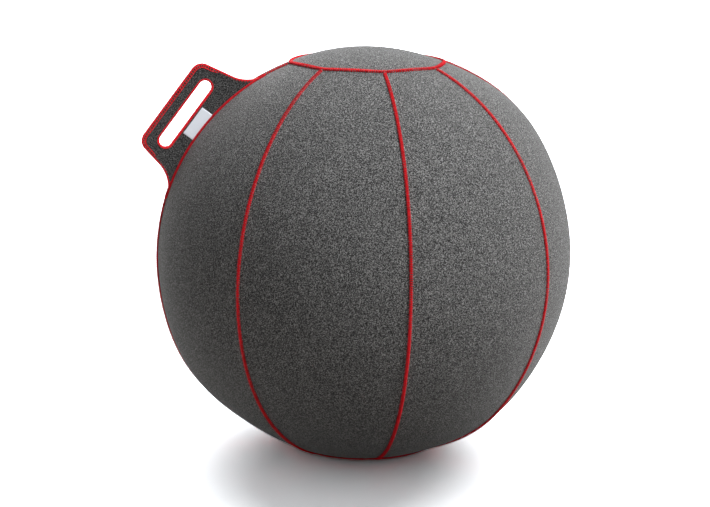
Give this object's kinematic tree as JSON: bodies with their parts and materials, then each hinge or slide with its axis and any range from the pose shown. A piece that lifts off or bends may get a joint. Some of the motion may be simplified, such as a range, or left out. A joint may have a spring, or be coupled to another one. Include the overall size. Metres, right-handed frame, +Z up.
{
  "type": "balance ball chair",
  "caption": "Round sitting ball in a grey felt cover with raised red overlock seams, octagonal end panels, a felt grab handle and a flat resting patch.",
  "frame": {"origin": "middle of the flat patch that the ball stands on", "axes": "+Z up, -Y towards the front seam, the handle on the -X side and the zip on the +Y side"},
  "size_m": [0.6769, 0.6538, 0.638],
  "materials": {
    "felt_grey": "heathered wool felt",
    "thread_red": "overlock thread",
    "label_white": "blank woven label",
    "bladder_grey": "smooth soft vinyl",
    "plug_white": "matte",
    "ring_black": "matte",
    "tape_grey": "woven tape",
    "coil_grey": "nylon coil",
    "zip_metal": "satin gunmetal"
  },
  "bodies": {
    "ball": {"felt_gore_1": "felt_grey", "felt_gore_2": "felt_grey", "felt_gore_3": "felt_grey", "felt_gore_4": "felt_grey", "felt_gore_5": "felt_grey", "felt_gore_6": "felt_grey", "felt_gore_7": "felt_grey", "felt_gore_8": "felt_grey", "top_panel": "felt_grey", "bottom_panel": "felt_grey", "gore_seam_1": "thread_red", "gore_seam_2": "thread_red", "gore_seam_3": "thread_red", "gore_seam_4": "thread_red", "gore_seam_5": "thread_red", "gore_seam_6": "thread_red", "gore_seam_7": "thread_red", "gore_seam_8": "thread_red", "top_seam": "thread_red", "bottom_seam": "thread_red", "handle_root_front": "felt_grey", "handle_root_back": "felt_grey", "handle_base_seam_front": "thread_red", "handle_base_seam_back": "thread_red", "handle_root_edge_upper": "thread_red", "handle_root_edge_lower": "thread_red", "bladder": "bladder_grey", "valve_seat": "bladder_grey", "valve_plug": "plug_white", "base_ring": "ring_black", "zip_tape_left": "tape_grey", "zip_tape_right": "tape_grey", "zip_coil_left": "coil_grey", "zip_coil_right": "coil_grey", "zip_stop_top": "zip_metal", "zip_stop_bottom": "zip_metal"},
    "handle": {"handle_flap_front": "felt_grey", "handle_flap_back": "felt_grey", "handle_edge_seam": "thread_red", "slot_edge_seam": "thread_red", "label": "label_white"},
    "zip_slider": {"zip_slider": "zip_metal"},
    "zip_pull": {"zip_pull": "zip_metal"}
  },
  "joints": [
    {"name": "handle_fold", "type": "hinge", "parent": "ball", "child": "handle", "pos_m": [-0.26699, 0, 0.51201], "axis": [-0.5976, 0, -0.8018], "range_deg": [-75, 75], "stiffness_Nm_per_rad": 0.15},
    {"name": "zip_travel", "type": "hinge", "parent": "ball", "child": "zip_slider", "pos_m": [0, 0, 0.313], "axis": [1, 0, 0], "range_deg": [0, 67.19]},
    {"name": "pull_swing", "type": "hinge", "parent": "zip_slider", "child": "zip_pull", "pos_m": [0, 0.1969, 0.0508], "axis": [1, 0, 0], "range_deg": [-38, 112]}
  ]
}
